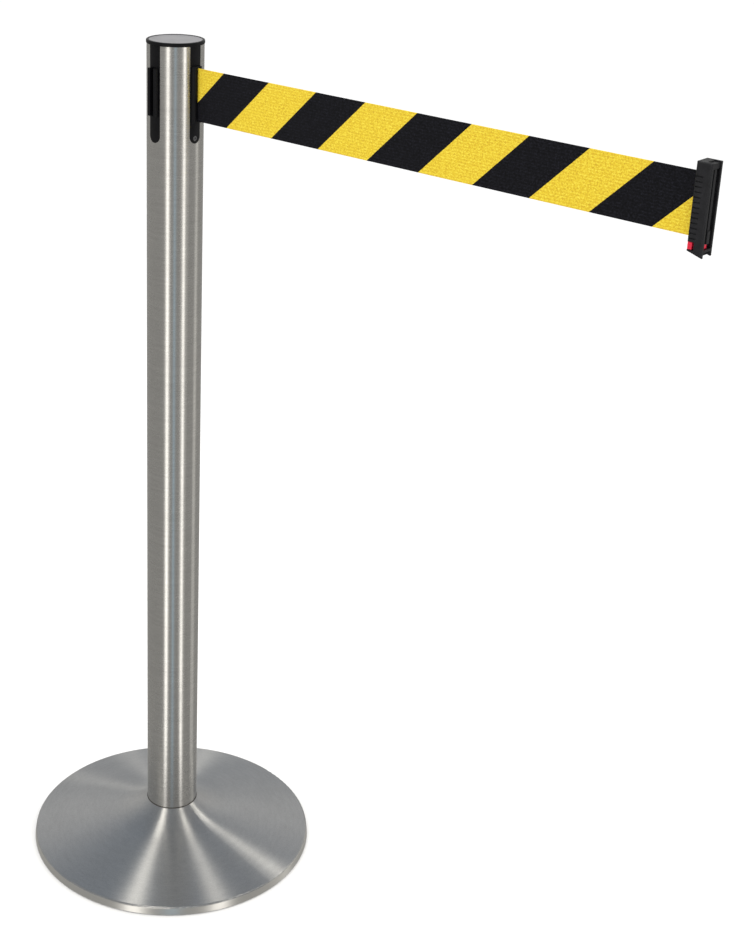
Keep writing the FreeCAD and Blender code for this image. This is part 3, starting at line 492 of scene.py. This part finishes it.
def make_floor():
    """A pale floor that doesn't show in reflections."""
    s = Shader("pale_floor", Roughness=0.9)
    cloud = s.noise(s.place, scale=3.0, detail=3.0)
    s.set(Base_Color=s.ramp(cloud, list(zip((0.3, 0.7), FLOOR_COLOURS))))
    corners = [(-FLOOR_HALF, -FLOOR_HALF, 0), (FLOOR_HALF, -FLOOR_HALF, 0), (FLOOR_HALF, FLOOR_HALF, 0),
               (-FLOOR_HALF, FLOOR_HALF, 0)]
    floor = mesh_object("floor", corners, [(0, 1, 2, 3)], s.material)
    floor.visible_glossy = False


def strip_bands():
    """(direction, colour) round the room: each strip light, the glow beside it, and the walls between."""
    rows = []
    for centre, half, colour in STRIPS:
        glow = tuple(wall + GLOW * (channel - wall) for wall, channel in zip(WALL, colour))
        for side in (-1, 1):
            for away, shown in ((0.0, colour), (GLOW_WIDTH, glow), (FADE_WIDTH, WALL)):
                degrees = centre + side * (half + away)
                rows.append(((degrees + 180.0) % 360.0 - 180.0, shown))
    return sorted(rows)


def all_round(rows):
    """Ramp stops for (direction, colour) rows, from behind on one side to behind on the other."""
    closed = rows + [(180.0, rows[0][1])]
    return [((degrees + 180.0) / 360.0, colour) for degrees, colour in closed]


def make_world():
    """White to the camera, even light on matt surfaces, and the lit room in reflections."""
    world = bpy.data.worlds.new("studio")
    bpy.context.scene.world = world
    world.use_nodes = True
    w = Nodes(world.node_tree)

    def background(strength, colour=opaque(WHITE)):
        return w.add("ShaderNodeBackground", {"Strength": strength, "Color": colour}).outputs[0]

    def switch(factor, a, b):
        return w.add("ShaderNodeMixShader", {0: factor, 1: a, 2: b}).outputs[0]

    place = w.add("ShaderNodeTexCoord").outputs["Generated"]
    to_camera = {"Vector": place, "Angle": math.pi / 2 - CAMERA_AZIMUTH}
    x, y, height = w.split(w.add("ShaderNodeVectorRotate", to_camera, rotation_type="Z_AXIS").outputs[0])
    share = w.between(w.maths("ARCTAN2", y, x), -math.pi, math.pi)
    room = w.ramp(share, all_round(strip_bands()))
    for rows, rise in ((HORIZON_BANDS, HORIZON_RISE), (OVERHEAD_BANDS, OVERHEAD_RISE)):
        risen = w.between(height, *rise, kind="SMOOTHSTEP")
        room = w.mix(risen, room, w.ramp(share, all_round(rows)))
    paths = w.add("ShaderNodeLightPath").outputs
    lit = switch(paths["Is Glossy Ray"], background(ROOM_LIGHT), background(1.0, room))
    seen = switch(paths["Is Camera Ray"], lit, background(1.0))
    w.add("ShaderNodeOutputWorld", {"Surface": seen})


def make_camera():
    data = bpy.data.cameras.new("camera")
    data.sensor_width = SENSOR
    data.lens = CAMERA_LENS
    data.shift_x, data.shift_y = CAMERA_SHIFT
    data.clip_start, data.clip_end = CAMERA_REACH
    camera = bpy.data.objects.new("camera", data)
    bpy.context.scene.collection.objects.link(camera)
    heading = CAMERA_AZIMUTH + CAMERA_YAW
    flat = math.cos(CAMERA_PITCH)
    forward = Vector((-math.sin(heading) * flat, math.cos(heading) * flat, -math.sin(CAMERA_PITCH)))
    level = Vector((math.cos(heading), math.sin(heading), 0.0))
    upright = level.cross(forward)
    right = math.cos(CAMERA_ROLL) * level + math.sin(CAMERA_ROLL) * upright
    up = math.cos(CAMERA_ROLL) * upright - math.sin(CAMERA_ROLL) * level
    turn = Matrix((right, up, -forward)).transposed()
    spot = Vector((math.sin(CAMERA_AZIMUTH) * CAMERA_DISTANCE, -math.cos(CAMERA_AZIMUTH) * CAMERA_DISTANCE,
                   CAMERA_HEIGHT))
    camera.matrix_world = Matrix.Translation(spot) @ turn.to_4x4()
    bpy.context.scene.camera = camera


def make_softboxes():
    for name, (direction, elevation, size, power) in SOFTBOXES.items():
        data = bpy.data.lights.new(name, "AREA")
        data.size = size
        data.energy = power
        data.color = LIGHT_COLOUR
        light = bpy.data.objects.new(name, data)
        bpy.context.scene.collection.objects.link(light)
        a = CAMERA_AZIMUTH + math.radians(direction)
        e = math.radians(elevation)
        back = Vector((math.sin(a) * math.cos(e), -math.cos(a) * math.cos(e), math.sin(e)))
        light.rotation_mode = "QUATERNION"
        light.location = Vector(LIGHT_TARGET) + back * LIGHT_DISTANCE
        light.rotation_quaternion = (-back).to_track_quat("-Z", "Y")


make_camera()
make_world()
make_floor()
make_softboxes()
materials = make_materials()
dress_nodes(materials)
make_belt(materials["belt_weave"])
for name, width in EDGE_WIDTHS.items():
    round_edges(name, width)

bpy.context.scene.view_settings.view_transform = "Standard"
bpy.context.scene.view_settings.look = "None"
